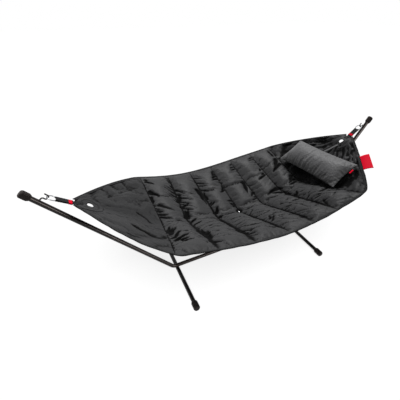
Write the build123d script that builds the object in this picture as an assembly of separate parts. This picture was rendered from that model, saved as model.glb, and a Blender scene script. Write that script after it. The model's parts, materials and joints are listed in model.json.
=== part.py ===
from build123d import *
import math
import os

# Hammock on a two-armed tube stand.
# The frame has +X along the hammock, +Y to its rear side and +Z up.
# The origin is on the floor under the middle of the stand. Sizes are in millimetres.

# Stand
arm_tip_span = 3300.0
arm_tip_height = 1217.0
elbow_span = 1494.0
leg_length = 1084.0
leg_inset = 37.0
tube_diameter = 38.0
tube_wall = 1.6
elbow_bend_radius = 60.0
elbow_arm_reach = 146.0
elbow_base_reach = 158.0
stub_length = 70.0
stub_clearance = 0.2
saddle_width = 24.0
cut_overrun = 1.0

# End caps and feet, one moulding on all six tube ends
cap_diameter = 58.0
cap_length = 88.0
arm_cap_length = 68.0
cap_neck_length = 14.0
cap_neck_wall = 2.6
cap_bevel = 9.0
cap_bevel_inset = 6.3
cap_end_wall = 12.0
cap_clearance = 0.1
cap_flutes = 20
cap_flute_diameter = 6.0
cap_flute_depth = 1.3
cap_sole_depth = 1.0
cap_sole_angle = 28.0

# Spring buttons that lock the plugged tubes
button_diameter = 8.0
button_clearance = 0.25
button_height = 5.0
button_round = 2.6
button_flange_diameter = 12.0
button_flange_thickness = 1.5
button_leaf_length = 42.0
button_leaf_thickness = 0.8
button_setback = 32.0

# Hooks, a bent rod welded to each arm
hook_rod = 10.0
hook_setback = 120.0
hook_run = 29.0
hook_rise = 25.0
hook_gap = 22.0
hook_finger = 31.0
hook_bend_radius = 10.0
hook_end_step = 0.2
hook_bead = 3.5
hook_bead_sink = 0.3
hook_seat_rise = 2.75

# Rings, straps and keepers
ring_wire = 8.0
ring_inner = 54.0
ring_clearance = 0.4
strap_side_gap = 2.0
strap_thickness = 2.2
strap_neck = 24.0
keeper_length = 24.0
keeper_wall = 1.8
keeper_clearance = 0.3
keeper_setback = 6.0

# Sling
strap_run = 130.7
strap_drop = 86.5
sling_tip_half_width = 45.0
sling_tip_dish = 8.0
bed_length = 1680.0
bed_half_width = 715.0
bed_centre_height = 487.0
bed_centre_rise = 188.0
front_edge_height = 720.0
front_edge_rise = 185.0
rear_edge_height = 684.0
rear_edge_rise = 81.0
edge_twist = 20.0
end_edge_bow = 45.0
end_steps = 4
end_panel_lift = 14.0
valley_share = 0.22
channel_count = 6
channel_crown = 40.0
channel_belly = 14.0
channel_shoulder = 80.0
channel_sections = 5
channel_roundness = 0.75
valley_fullness = 0.85
seam_thickness = 5.0
cloth_thickness = 3.0
hem_width = 34.0
hem_tip_width = 26.0
hem_thickness = 6.0
stitch_gap = 0.4
panel_hole_diameter = 45.0
panel_hole_setback = 98.0
patch_radius = 105.0
patch_thickness = 1.4
eyelet_diameter = 14.0
eyelet_bore = 7.0
eyelet_height = 8.0
eyelet_chamfer = 0.8
side_label_length = 205.0
side_label_reach = 90.0
side_label_thickness = 2.0
side_label_step = 2
side_label_droop = 14.0

# Pillow
pillow_length = 850.0
pillow_width = 330.0
pillow_waist = 304.0
pillow_crown = 74.0
pillow_belly = 62.0
pillow_edge = 4.0
pillow_flatness = 3.0
pillow_roundness = 0.6
pillow_x = 905.0
pillow_y = -25.0
pillow_tilt = 30.0
pillow_roll = 4.0
pillow_clearance = 0.4
pillow_strap_width = 28.0
pillow_strap_thickness = 2.0
pillow_strap_tail = 34.0
pillow_strap_dip = 7.0
pillow_strap_bend = 18.0
pillow_label_length = 48.0
pillow_label_reach = 14.0
pillow_label_thickness = 1.6
pillow_label_offset = 70.0

os.makedirs("parts", exist_ok=True)
up = (Align.CENTER, Align.CENTER, Align.MIN)

tube_radius = tube_diameter / 2
cap_radius = cap_diameter / 2
stub_radius = tube_radius - tube_wall - stub_clearance
stub_bore = stub_radius - tube_wall
leg_axis_z = cap_radius - cap_sole_depth
base_axis_z = leg_axis_z + tube_diameter
elbow_x = elbow_span / 2
leg_x = elbow_x - leg_inset
arm_run = Vector(arm_tip_span / 2 - elbow_x, 0, arm_tip_height - base_axis_z)
arm_length = arm_run.length
arm_way = arm_run.normalized()
elbow_corner = Vector(elbow_x, 0, base_axis_z)
arm_plane = Plane(origin=elbow_corner, x_dir=(0, 1, 0), z_dir=arm_way)
arm_out = Vector(-arm_way.Z, 0, arm_way.X)


def save(shape, name):
    export_step(shape, f"parts/{name}.step")


def save_pair(shape, name):
    save(shape, f"right_{name}")
    save(mirror(shape, about=Plane.YZ), f"left_{name}")


def pipe(outer, inner, start, end):
    return extrude(Plane.XY.offset(start) * (Circle(outer) - Circle(inner)), end - start)


# Tubes, all round and of one diameter
def straight_tube(start, end):
    return pipe(tube_radius, tube_radius - tube_wall, start, end)


base_half = elbow_x - elbow_base_reach
base_plane = Plane(origin=(0, 0, base_axis_z), x_dir=(0, 1, 0), z_dir=(1, 0, 0))
leg_plane = Plane(origin=(leg_x, 0, leg_axis_z), x_dir=(1, 0, 0), z_dir=(0, -1, 0))
leg_half = leg_length / 2 - cap_end_wall
arm_end = arm_length - cap_end_wall


# Spring button, modelled on +Z at the stub's wall, with its leaf along +X
def spring_button():
    seat = math.sqrt(stub_bore**2 - (button_flange_diameter / 2) ** 2) - button_clearance
    low = seat - button_flange_thickness
    top = tube_radius + button_height
    stem = extrude(Plane.XY.offset(low) * Circle(button_diameter / 2), top - low)
    stem = fillet(stem.edges().sort_by(Axis.Z)[-1], button_round)
    flange = extrude(Plane.XY.offset(low) * Circle(button_flange_diameter / 2), button_flange_thickness)
    leaf = Pos(button_leaf_length / 2, 0, low - button_leaf_thickness / 2) * Box(
        button_leaf_length + button_diameter, button_diameter, button_leaf_thickness
    )
    return stem + flange + leaf


button_hole = Cylinder(button_diameter / 2 + button_clearance, tube_diameter, align=up)
arm_lock = elbow_corner + arm_way * (elbow_arm_reach + button_setback)
base_lock = Vector(base_half - button_setback, 0, base_axis_z)
arm_lock_plane = Plane(origin=arm_lock, x_dir=arm_way, z_dir=(0, 1, 0))
base_lock_plane = Plane(origin=base_lock, x_dir=(-1, 0, 0), z_dir=(0, 1, 0))
arm_lock_hole = arm_lock_plane * button_hole
base_lock_hole = base_lock_plane * button_hole

arm = arm_plane * straight_tube(elbow_arm_reach, arm_end) - arm_lock_hole
save_pair(arm, "arm")
base_tube = base_plane * straight_tube(-base_half, base_half)
base_tube = base_tube - base_lock_hole - mirror(base_lock_hole, about=Plane.YZ)
save(base_tube, "base_tube")
leg = leg_plane * straight_tube(-leg_half, leg_half)
save_pair(leg, "leg")
save_pair(arm_lock_plane * spring_button(), "arm_button")
save_pair(base_lock_plane * spring_button(), "base_button")


# Elbow: a bent connector with a turned-down stub at each end, and a coped saddle on the leg
def bent_rod(radius, base_reach, arm_reach):
    base_end = elbow_corner - Vector(base_reach, 0, 0)
    arm_point = elbow_corner + arm_way * arm_reach
    path = FilletPolyline(base_end, elbow_corner, arm_point, radius=elbow_bend_radius)
    return sweep(Plane(origin=base_end, z_dir=(1, 0, 0)) * Circle(radius), path=path)


elbow = bent_rod(tube_radius, elbow_base_reach, elbow_arm_reach)
elbow += bent_rod(stub_radius, elbow_base_reach + stub_length, elbow_arm_reach + stub_length)
leg_core = leg_plane * Cylinder(tube_radius, leg_length)
saddle = Pos(leg_x, 0, (leg_axis_z + base_axis_z) / 2) * Box(saddle_width, saddle_width, tube_diameter)
elbow = elbow + (saddle - leg_core)
bore_reach = stub_length + cut_overrun
elbow -= bent_rod(stub_bore, elbow_base_reach + bore_reach, elbow_arm_reach + bore_reach)
elbow = elbow - arm_lock_hole - base_lock_hole
save_pair(elbow, "elbow")


# Cap: fluted body, coned neck and bevelled end, with a flat sole on one side
def tube_cap(length):
    body_start = cap_neck_length
    body_end = length - cap_bevel
    neck_radius = tube_radius + cap_clearance + cap_neck_wall
    outline = Polyline(
        (0, 0),
        (neck_radius, 0),
        (cap_radius, body_start),
        (cap_radius, body_end),
        (cap_radius - cap_bevel_inset, length),
        (0, length),
        close=True,
    )
    cap = revolve(Plane.XZ * make_face(outline), axis=Axis.Z)
    flute_orbit = cap_radius + cap_flute_diameter / 2 - cap_flute_depth
    step = (360 - 2 * cap_sole_angle) / (cap_flutes - 1)
    flutes = Sketch()
    for index in range(cap_flutes):
        turn = math.radians(cap_sole_angle + index * step)
        flute_place = Pos(flute_orbit * math.cos(turn), flute_orbit * math.sin(turn))
        flutes += flute_place * Circle(cap_flute_diameter / 2)
    cap -= extrude(Plane.XY.offset(body_start) * flutes, length)
    bore_depth = length - cap_end_wall
    cap -= extrude(Circle(tube_radius + cap_clearance), bore_depth)
    sole = Pos(cap_radius - cap_sole_depth, 0, 0) * Box(
        cap_radius, cap_diameter, 2 * length, align=(Align.MIN, Align.CENTER, Align.CENTER)
    )
    return cap - sole


arm_cap_start = elbow_corner + arm_way * (arm_length - arm_cap_length)
arm_cap_plane = Plane(origin=arm_cap_start, x_dir=-arm_out, z_dir=arm_way)
save_pair(arm_cap_plane * tube_cap(arm_cap_length), "arm_cap")
foot = tube_cap(cap_length)
for side, way in (("front", -1), ("rear", 1)):
    foot_place = Vector(leg_x, way * (leg_length / 2 - cap_length), leg_axis_z)
    save_pair(Plane(origin=foot_place, x_dir=(0, 0, -1), z_dir=(0, way, 0)) * foot, f"{side}_foot")


# Hook: rises from the arm, runs towards the hammock and turns back over itself
def on_arm(along, out):
    return elbow_corner + arm_way * along + arm_out * out


hook_root = arm_length - hook_setback
hook_low = tube_radius + hook_rise
hook_high = hook_low + hook_gap + hook_rod
hook_back = hook_root - hook_run
hook_points = [
    on_arm(hook_root, tube_radius / 2),
    on_arm(hook_root, hook_low),
    on_arm(hook_back, hook_low),
    on_arm(hook_back, hook_high),
    on_arm(hook_back + hook_finger, hook_high),
]
hook_path = FilletPolyline(*hook_points, radius=hook_bend_radius)
hook = sweep(Plane(origin=hook_points[0], z_dir=arm_out) * Circle(hook_rod / 2), path=hook_path)
hook += Pos(*hook_points[-1]) * Sphere(hook_rod / 2 - hook_end_step)
bead = Cone(hook_rod / 2 + hook_bead, hook_rod / 2, hook_bead, align=up)
hook += Plane(origin=on_arm(hook_root, tube_radius - hook_bead_sink), z_dir=arm_out) * bead
hook -= arm_plane * Cylinder(tube_radius, 2 * arm_length)
save_pair(hook, "hook")

# Ring: its wire rests on the hook's back, and it lies along the pull of the sling
hook_seat = on_arm(hook_back, (hook_low + hook_high) / 2 + hook_seat_rise)
wire_seat = hook_seat + arm_way * (hook_rod / 2 + ring_wire / 2 + ring_clearance)
sling_tip_x = hook_seat.X - strap_run
sling_tip_z = hook_seat.Z - strap_drop
sling_tip = Vector(sling_tip_x, 0, sling_tip_z)
pull = (sling_tip - wire_seat).normalized()
ring_radius = (ring_inner + ring_wire) / 2
ring_centre = wire_seat + pull * ring_radius
pull_plane = Plane(origin=ring_centre, x_dir=pull, z_dir=(0, -1, 0))
ring_plane = Plane(origin=ring_centre, x_dir=pull, z_dir=pull.cross(Vector(0, 1, 0)))
save_pair(ring_plane * Torus(ring_radius, ring_wire / 2), "ring")

# Strap: a webbing loop through the ring, its two layers sewn together towards the sling
strap_half = ring_inner / 2 - strap_side_gap
strap_width = 2 * strap_half
tip_distance = (sling_tip - ring_centre).length
loop_half = ring_wire / 2 + ring_clearance
wire_near = math.sqrt((ring_inner / 2) ** 2 - strap_half**2) - ring_clearance + loop_half
loop_outer = loop_half + strap_thickness
loop_place = Pos((wire_near + ring_radius) / 2, 0)
neck_end = ring_radius + strap_neck
strap_face = loop_place * SlotCenterToCenter(ring_radius - wire_near, 2 * loop_outer)
strap_face += make_face(
    Polyline(
        (ring_radius, -loop_outer),
        (neck_end, -strap_thickness),
        (tip_distance + strap_width, -strap_thickness),
        (tip_distance + strap_width, strap_thickness),
        (neck_end, strap_thickness),
        (ring_radius, loop_outer),
        close=True,
    )
)
strap_face -= loop_place * SlotCenterToCenter(ring_radius - wire_near, 2 * loop_half)
neck_gap = Polyline((ring_radius, -loop_half), (neck_end, 0), (ring_radius, loop_half), close=True)
strap_face -= make_face(neck_gap)
strap = extrude(pull_plane * strap_face, strap_half, both=True)
strap_stop = Pos(sling_tip_x + stitch_gap, 0, sling_tip_z) * Box(
    arm_tip_span, arm_tip_span, arm_tip_span, align=(Align.MAX, Align.CENTER, Align.CENTER)
)
strap -= strap_stop
save_pair(strap, "strap")

# Keeper: a flat band round the sewn strap, just above the sling's tip
keeper_slot_half = strap_thickness + keeper_clearance
keeper_slot_width = strap_width + 2 * keeper_clearance
keeper_face = Rectangle(2 * (keeper_slot_half + keeper_wall), keeper_slot_width + 2 * keeper_wall)
keeper_face -= Rectangle(2 * keeper_slot_half, keeper_slot_width)
keeper_start = tip_distance - keeper_setback - keeper_length
keeper_plane = Plane(origin=ring_centre + pull * keeper_start, x_dir=ring_plane.z_dir, z_dir=pull)
save_pair(extrude(keeper_plane * keeper_face, keeper_length), "keeper")

# Sling surface: a shallow valley whose front and rear edges hang from the four corners
bed_half = bed_length / 2
channel_width = bed_length / channel_count


def towards_tip(x):
    return max(0.0, (abs(x) - bed_half) / (sling_tip_x - bed_half))


def hang(height, rise, tip_height, x):
    share = towards_tip(x)
    if share > 0:
        return (height + rise) * (1 - share) + tip_height * share
    return height + rise * (x / bed_half) ** 2


def edge_y(x):
    share = towards_tip(x)
    straight = bed_half_width * (1 - share) + sling_tip_half_width * share
    return straight + 4 * end_edge_bow * share * (1 - share)


def hem_at(x):
    share = towards_tip(x)
    return hem_width * (1 - share) + hem_tip_width * share


def edge_z(x, y):
    tip_height = sling_tip_z + sling_tip_dish
    twist = edge_twist * math.sin(math.pi * min(1.0, max(-1.0, x / bed_half)))
    if y > 0:
        return hang(rear_edge_height, rear_edge_rise, tip_height, x) + twist
    return hang(front_edge_height, front_edge_rise, tip_height, x) - twist


def centre_z(x):
    share = towards_tip(x)
    return hang(bed_centre_height, bed_centre_rise, sling_tip_z, x) + 4 * end_panel_lift * share * (1 - share)


def bed_z(x, y):
    edge = edge_y(x)
    valley = valley_share * edge
    low = centre_z(x)
    high = edge_z(x, y)
    turn = high - (high - low) * (edge - valley) / (edge - valley / 2)
    if abs(y) < valley:
        return low + (turn - low) * (y / valley) ** 2
    return turn + (high - turn) * (abs(y) - valley) / (edge - valley)


# Cross-section of the sling at one x, between a lower and an upper offset from its surface
def cross_section(x, low, high, swell_low=0.0, swell_high=0.0):
    half = edge_y(x) - hem_at(x) - stitch_gap
    valley = valley_share * edge_y(x)
    shoulder = half - min(channel_shoulder, (half - valley) / 2)

    def skin(offset, swell):
        rear = [(valley, 1), (shoulder, 1), (half, 0)]
        front = [(-y, share) for y, share in reversed(rear)]
        stations = front + [(0, valley_fullness)] + rear
        return [Vector(x, y, bed_z(x, y) + offset + swell * share) for y, share in stations]

    def skin_edges(points):
        edges = [Line(points[0], points[1]), Line(points[1], points[2])]
        edges.append(ThreePointArc(points[2], points[3], points[4]))
        return edges + [Line(points[4], points[5]), Line(points[5], points[6])]

    under = skin(low, -swell_low)
    over = skin(high, swell_high)
    sides = [Line(under[0], over[0]), Line(under[-1], over[-1])]
    return Face(Wire(skin_edges(under) + skin_edges(over) + sides))


# Quilt: padded channels that run from edge to edge and meet at the sewn seams
def quilt_channel(start):
    sections = []
    seam_half = seam_thickness / 2
    for step in range(channel_sections):
        share = step / (channel_sections - 1)
        swell = math.sin(math.pi * share) ** channel_roundness
        x = start + channel_width * share
        sections.append(cross_section(x, -seam_half, seam_half, channel_belly * swell, channel_crown * swell))
    return loft(sections)


channels = [quilt_channel(-bed_half + index * channel_width) for index in range(channel_count)]
eyelet_place = Pos(0, 0, centre_z(0))
eyelet_hole = eyelet_place * Cylinder(eyelet_diameter / 2 + stitch_gap, 4 * channel_crown)
for index, channel in enumerate(channels):
    if abs(2 * index + 1 - channel_count) == 1:
        channels[index] = channel - eyelet_hole
    save(channels[index], f"quilt_channel_{index + 1}")
eyelet = Cylinder(eyelet_diameter / 2, eyelet_height) - Cylinder(eyelet_bore / 2, 2 * eyelet_height)
save(eyelet_place * chamfer(eyelet.edges().filter_by(GeomType.CIRCLE), eyelet_chamfer), "drain_eyelet")


# End panels: flat cloth from the bed's last seam to the tip, with a hole and a patch round it
end_stations = [bed_half + (sling_tip_x - bed_half) * step / end_steps for step in range(end_steps + 1)]
panel_hole_x = sling_tip_x - panel_hole_setback


def end_sheet(low, high):
    return loft([cross_section(x, low, high) for x in end_stations], ruled=True)


panel_hole = Pos(panel_hole_x, 0, centre_z(panel_hole_x)) * Cylinder(panel_hole_diameter / 2, sling_tip_x)
patch_outline = Pos(panel_hole_x, 0, centre_z(panel_hole_x)) * Cylinder(patch_radius, sling_tip_x)
end_panel = end_sheet(-cloth_thickness, 0) - panel_hole
save_pair(end_panel, "end_panel")
patch_low = stitch_gap
save_pair((end_sheet(patch_low, patch_low + patch_thickness) & patch_outline) - panel_hole, "patch")


# Hems: a folded band round each side of the sling, from tip to tip
def hem(side):
    bed_stations = [-bed_half + channel_width * step / 2 for step in range(2 * channel_count + 1)]
    left_stations = [-x for x in reversed(end_stations)]
    sections = []
    for x in left_stations[:-1] + bed_stations + end_stations[1:]:
        outer = side * edge_y(x)
        inner = side * (edge_y(x) - hem_at(x))
        low_in = Vector(x, inner, bed_z(x, inner) - hem_thickness / 2)
        low_out = Vector(x, outer, bed_z(x, outer) - hem_thickness / 2)
        lift = Vector(0, 0, hem_thickness)
        outline = Polyline(low_in, low_out, low_out + lift, low_in + lift, close=True)
        sections.append(Face(Wire(outline.edges())))
    return loft(sections, ruled=True)


front_hem = hem(-1)
save(front_hem, "front_hem")
save(hem(1), "rear_hem")

# Side label: a plain flag sewn into the hem between the front right corner and the tip
def front_edge(x):
    return Vector(x, -edge_y(x), edge_z(x, -1))


flag_x = end_stations[side_label_step]
flag_start = front_edge(flag_x - side_label_length / 2)
hem_way = (front_edge(flag_x + side_label_length / 2) - flag_start).normalized()
flag_out = hem_way.cross(Vector(0, 0, 1)).normalized()
flag_root = front_edge(flag_x) + flag_out * stitch_gap
flag_plane = Plane(origin=flag_root, x_dir=hem_way, z_dir=flag_out.cross(hem_way))
outward = (Align.CENTER, Align.MAX, Align.CENTER)
flag = Box(side_label_length, side_label_reach, side_label_thickness, align=outward)
save(flag_plane * Rot(side_label_droop, 0, 0) * flag, "side_label")


# Pillow: crowned, with drawn-in sides and flat pinched corners, lying across the right of the bed
def pillow_section(y, width, crown, belly):
    left = (-width / 2, y, 0)
    right = (width / 2, y, 0)
    top = ThreePointArc(left, (0, y, crown), right)
    bottom = ThreePointArc(left, (0, y, -belly), right)
    return Face(Wire([top, bottom]))


# Lower a piece until it lies one clearance above what carries it
def settle(piece, carriers, clearance):
    drop = 2 * clearance
    while drop > clearance / 10:
        drop = min(piece.distance_to(carrier) for carrier in carriers) - clearance
        piece = Pos(0, 0, -drop) * piece
    return piece


pillow_sections = []
for share in (-1, -0.86, -0.5, 0, 0.5, 0.86, 1):
    fullness = (1 - abs(share) ** pillow_flatness) ** pillow_roundness
    width = pillow_waist + (pillow_width - pillow_waist) * share**2
    crown = pillow_edge + (pillow_crown - pillow_edge) * fullness
    belly = pillow_edge + (pillow_belly - pillow_edge) * fullness
    pillow_sections.append(pillow_section(share * pillow_length / 2, width, crown, belly))
pillow_turn = Rot(-pillow_roll, 0, 0) * Rot(0, -pillow_tilt, 0)
pillow_start = Vector(pillow_x, pillow_y, arm_tip_height)
pillow = Pos(*pillow_start) * pillow_turn * loft(pillow_sections)
settled = settle(pillow, channels[-2:] + [end_panel], pillow_clearance)
pillow_place = Pos(0, 0, settled.center().Z - pillow.center().Z) * Pos(*pillow_start) * pillow_turn
save(settled, "pillow")
print("pillow seam height", round(pillow_place.position.Z, 1))

# Pillow label: a small plain tab in the seam of the pillow's front end
tab = Box(pillow_label_length, pillow_label_reach, pillow_label_thickness, align=outward)
tab_place = Pos(pillow_label_offset, -pillow_length / 2 - pillow_clearance, 0)
save(pillow_place * tab_place * tab, "pillow_label")

# Pillow strap: from the pillow's upper seam, through the panel's hole and under its rim
panel_slope = math.atan2(centre_z(panel_hole_x + 1) - centre_z(panel_hole_x - 1), 2)
hole_centre = Vector(panel_hole_x, 0, centre_z(panel_hole_x))
hole_way = Vector(math.cos(panel_slope), 0, math.sin(panel_slope))
hole_up = Vector(-math.sin(panel_slope), 0, math.cos(panel_slope))
rim = panel_hole_diameter / 2
seam_middle = (pillow_place * Pos(pillow_waist / 2, -pillow_y, 0)).position
strap_line = [
    Vector(seam_middle.X, 0, seam_middle.Z),
    hole_centre - hole_way * rim + hole_up * pillow_strap_dip,
    hole_centre + hole_way * rim - hole_up * pillow_strap_dip,
    hole_centre + hole_way * (rim + pillow_strap_tail) - hole_up * pillow_strap_dip,
]
strap_start = strap_line[0] + (strap_line[1] - strap_line[0]).normalized() * 2 * pillow_clearance
strap_line[0] = strap_start
flat_line = [(point.X, point.Z) for point in strap_line]
strap_path = FilletPolyline(*flat_line, radius=pillow_strap_bend)
strap_band = trace(strap_path, pillow_strap_thickness)
save(extrude(Plane.XZ * strap_band, pillow_strap_width / 2, both=True), "pillow_strap")
print("pillow hinge", round(hole_centre.X / 1000, 4), round(hole_centre.Z / 1000, 4))
print("sway axis height", round(hook_seat.Z / 1000, 4))
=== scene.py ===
# %% [markdown]
# # A quilted hammock on a tube stand
#
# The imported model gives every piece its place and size, in metres, with +X along the hammock, +Y to its
# rear and +Z up. This lesson gives the hard pieces their finishes, and makes the soft ones: a padded bed
# that is sewn in channels, two flat end panels, hems, webbing and a pillow.

import json
import math

import bpy
import numpy as np
from mathutils import Matrix, Vector, noise


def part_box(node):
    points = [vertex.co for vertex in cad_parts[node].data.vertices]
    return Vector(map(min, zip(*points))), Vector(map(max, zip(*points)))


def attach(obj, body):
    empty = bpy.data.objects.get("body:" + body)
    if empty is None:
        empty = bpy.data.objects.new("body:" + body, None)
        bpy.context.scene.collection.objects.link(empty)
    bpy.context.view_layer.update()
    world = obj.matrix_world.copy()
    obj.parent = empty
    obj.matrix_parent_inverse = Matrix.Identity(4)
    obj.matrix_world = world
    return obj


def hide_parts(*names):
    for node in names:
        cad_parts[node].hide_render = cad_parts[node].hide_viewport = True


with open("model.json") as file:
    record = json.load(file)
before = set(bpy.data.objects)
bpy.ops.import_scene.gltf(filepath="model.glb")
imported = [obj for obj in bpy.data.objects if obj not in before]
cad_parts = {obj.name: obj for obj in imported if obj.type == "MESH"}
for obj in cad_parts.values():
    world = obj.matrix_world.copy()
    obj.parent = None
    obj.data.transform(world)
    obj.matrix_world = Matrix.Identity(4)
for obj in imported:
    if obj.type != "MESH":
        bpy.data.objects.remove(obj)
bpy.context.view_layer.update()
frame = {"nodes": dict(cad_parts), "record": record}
nodes = frame["nodes"]
scene = bpy.context.scene
scene.view_settings.view_transform = "Standard"

# %% [markdown]
# ## Camera
#
# The stand's tubes are straight, so their lines in the picture fix the camera. A plain pinhole camera meets
# them all within a pixel. Its axis lies a little right of the picture's middle, which is a small lens
# shift.

# %% Camera
picture_side = 400
focal_pixels = 282.0
axis_pixel = 233.8
camera_place = (-1.13, -2.023, 2.222)
camera_yaw = math.radians(27.84)
camera_pitch = math.radians(34.39)
sensor_width = 36.0

bpy.ops.object.select_all(action="DESELECT")
camera_turn = (math.pi / 2 - camera_pitch, 0, -camera_yaw)
bpy.ops.object.camera_add(location=camera_place, rotation=camera_turn)
camera = bpy.context.object
camera.data.sensor_width = sensor_width
camera.data.lens = sensor_width * focal_pixels / picture_side
camera.data.shift_x = (picture_side / 2 - axis_pixel) / picture_side
scene.camera = camera
print("camera: lens", round(camera.data.lens, 2), "mm, shift", round(camera.data.shift_x, 4))

# %% [markdown]
# ## Colours and nodes
#
# Colours are picked as sRGB hex values, as on a screen, and a shader wants them linear, so one function
# turns them. Another one adds a node, sets it and links it, because every finish below is a small tree of
# nodes. A node that is given as an input stands for its first output.


# %% Colour and node helpers
def linear(hex_code):
    channels = [int(hex_code[i:i + 2], 16) / 255 for i in (1, 3, 5)]
    curve = [c / 12.92 if c <= 0.04045 else ((c + 0.055) / 1.055) ** 2.4 for c in channels]
    return (*curve, 1.0)


def set_inputs(tree, node, inputs):
    for name, value in inputs.items():
        if isinstance(value, bpy.types.Node):
            value = value.outputs[0]
        if isinstance(value, bpy.types.NodeSocket):
            tree.links.new(value, node.inputs[name])
        else:
            node.inputs[name].default_value = value


def add_node(tree, kind, inputs=None, **settings):
    node = tree.nodes.new(kind)
    for name, value in settings.items():
        setattr(node, name, value)
    set_inputs(tree, node, inputs or {})
    return node


def new_finish(name, constants):
    material = bpy.data.materials.new(name)
    material.use_nodes = True
    tree = material.node_tree
    shader = tree.nodes["Principled BSDF"]
    set_inputs(tree, shader, constants)
    return material, tree, shader


# %% [markdown]
# ## Lamps
#
# The picture is a cut-out on white. Its cloth is lit from the rear, and yet the only shadow is a soft one
# that hugs the bed. One lamp can't give both. A sun behind the hammock lights everything but the floor, and
# a second one with a wide disc lights only the floor. A strip light, which reaches only the arms, elbows
# and base tube, draws the long gleam along them.

# %% Lamps
strip_high, strip_low = Vector((1.14, -3.5, 2.2)), Vector((2.85, -3.5, 0.05))
strip_target = Vector((-1.3, 0.0, 0.8))
strip_width = 0.5
strip_watts = 300


def add_sun(level, height, tilt, heading, disc):
    bpy.ops.object.select_all(action="DESELECT")
    turn = (math.radians(tilt), 0, math.radians(heading))
    bpy.ops.object.light_add(type="SUN", location=(0, 0, height), rotation=turn)
    lamp = bpy.context.object
    lamp.data.energy = level
    lamp.data.angle = math.radians(disc)
    return lamp


sun = add_sun(level=2.9, height=4, tilt=34, heading=148, disc=20)
floor_lamp = add_sun(level=2.5, height=5, tilt=36, heading=-12, disc=40)

strip_place = (strip_high + strip_low) / 2
strip_way = (strip_low - strip_high).normalized()
strip_facing = (strip_place - strip_target).normalized()
strip_facing = (strip_facing - strip_way * strip_facing.dot(strip_way)).normalized()
strip_turn = Matrix([strip_way, strip_facing.cross(strip_way), strip_facing]).transposed()
bpy.ops.object.light_add(type="AREA", location=strip_place, rotation=strip_turn.to_euler())
strip = bpy.context.object
strip.data.shape = "RECTANGLE"
strip.data.size = (strip_low - strip_high).length
strip.data.size_y = strip_width
strip.data.energy = strip_watts
strip.data.color = linear("#fff4ee")[:3]
strip.light_linking.receiver_collection = bpy.data.collections.new("stand in the strip light")
print("lamps:", [lamp.name for lamp in (sun, floor_lamp, strip)])

# %% [markdown]
# ## White surroundings
#
# The sky gives little light, but it shows as white. The floor is pale, and what it lacks to white it gives
# off itself. Both whites go only to the camera and to mirrored or passed rays, so that the hammock may
# reflect them but isn't lit by them.

# %% White surroundings
sky_level = 0.07
floor_glow = 0.79
floor_side = 80.0
white = linear("#ffffff")


def seen_directly(tree):
    rays = add_node(tree, "ShaderNodeLightPath").outputs
    either = add_node(tree, "ShaderNodeMath", {0: rays["Is Camera Ray"], 1: rays["Is Glossy Ray"]},
                      operation="MAXIMUM")
    return add_node(tree, "ShaderNodeMath", {0: either, 1: rays["Is Transmission Ray"]}, operation="MAXIMUM")


world = bpy.data.worlds.new("white studio")
scene.world = world
world.use_nodes = True
sky = world.node_tree
sky.nodes.clear()
sky_light, sky_white = [add_node(sky, "ShaderNodeBackground", {"Color": white, "Strength": level})
                        for level in (sky_level, 1.0)]
sky_mix = add_node(sky, "ShaderNodeMixShader", {0: seen_directly(sky), 1: sky_light, 2: sky_white})
add_node(sky, "ShaderNodeOutputWorld", {"Surface": sky_mix})

bpy.ops.mesh.primitive_plane_add(size=floor_side)
floor = bpy.context.object
floor.name = "studio_floor"
floor_paint = bpy.data.materials.new("matt white studio floor")
floor_paint.use_nodes = True
tree = floor_paint.node_tree
tree.nodes.clear()
matt = add_node(tree, "ShaderNodeBsdfDiffuse", {"Color": linear("#a0a0a0")})
lift = add_node(tree, "ShaderNodeMath", {0: seen_directly(tree), 1: floor_glow}, operation="MULTIPLY")
glow = add_node(tree, "ShaderNodeEmission", {"Color": white, "Strength": lift})
both = add_node(tree, "ShaderNodeAddShader", {0: matt, 1: glow})
add_node(tree, "ShaderNodeOutputMaterial", {"Surface": both})
floor.data.materials.append(floor_paint)

floor_alone = [bpy.data.collections.new(name) for name in ("lit by the floor lamp", "left out by the sun")]
for lamp, group in zip((floor_lamp, sun), floor_alone):
    group.objects.link(floor)
    lamp.light_linking.receiver_collection = group
floor_alone[1].collection_objects[0].light_linking.link_state = "EXCLUDE"
print("floor:", floor_side, "m square, glow", floor_glow)

# %% [markdown]
# ## Finishes of the stand
#
# The tubes are steel with a thin baked powder coat: nearly black, a little brown, with the faint orange
# peel that molten powder leaves. Caps and feet are moulded rubber, duller and greyer. The rings are
# polished stainless wire, and the hooks are rods with a lighter coat.


# %% Powder-coated steel
def powder_coat(name, hex_code, roughness):
    peel_size, cloud_size = 0.004, 0.09
    gloss_swing = 0.05
    material, tree, shader = new_finish(name, {"Specular IOR Level": 0.2})
    where = add_node(tree, "ShaderNodeTexCoord").outputs["Object"]
    peel = add_node(tree, "ShaderNodeTexNoise", {"Vector": where, "Scale": 1 / peel_size, "Detail": 2.0})
    cloud = add_node(tree, "ShaderNodeTexNoise", {"Vector": where, "Scale": 1 / cloud_size, "Detail": 4.0})
    shade = add_node(tree, "ShaderNodeMapRange", {"Value": cloud, "To Min": 0.86, "To Max": 1.14})
    colour = add_node(tree, "ShaderNodeVectorMath", {0: linear(hex_code)[:3], "Scale": shade},
                      operation="SCALE")
    gloss = add_node(tree, "ShaderNodeMapRange", {"Value": cloud, "To Min": roughness - gloss_swing,
                                                  "To Max": roughness + gloss_swing})
    bump = add_node(tree, "ShaderNodeBump", {"Height": peel, "Strength": 0.08, "Distance": 0.0005})
    set_inputs(tree, shader, {"Base Color": colour, "Roughness": gloss, "Normal": bump})
    return material


tube_coat = powder_coat("powder-coated steel tube", "#140f0e", 0.34)
hook_coat = powder_coat("powder-coated steel rod", "#2a2422", 0.34)


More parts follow.
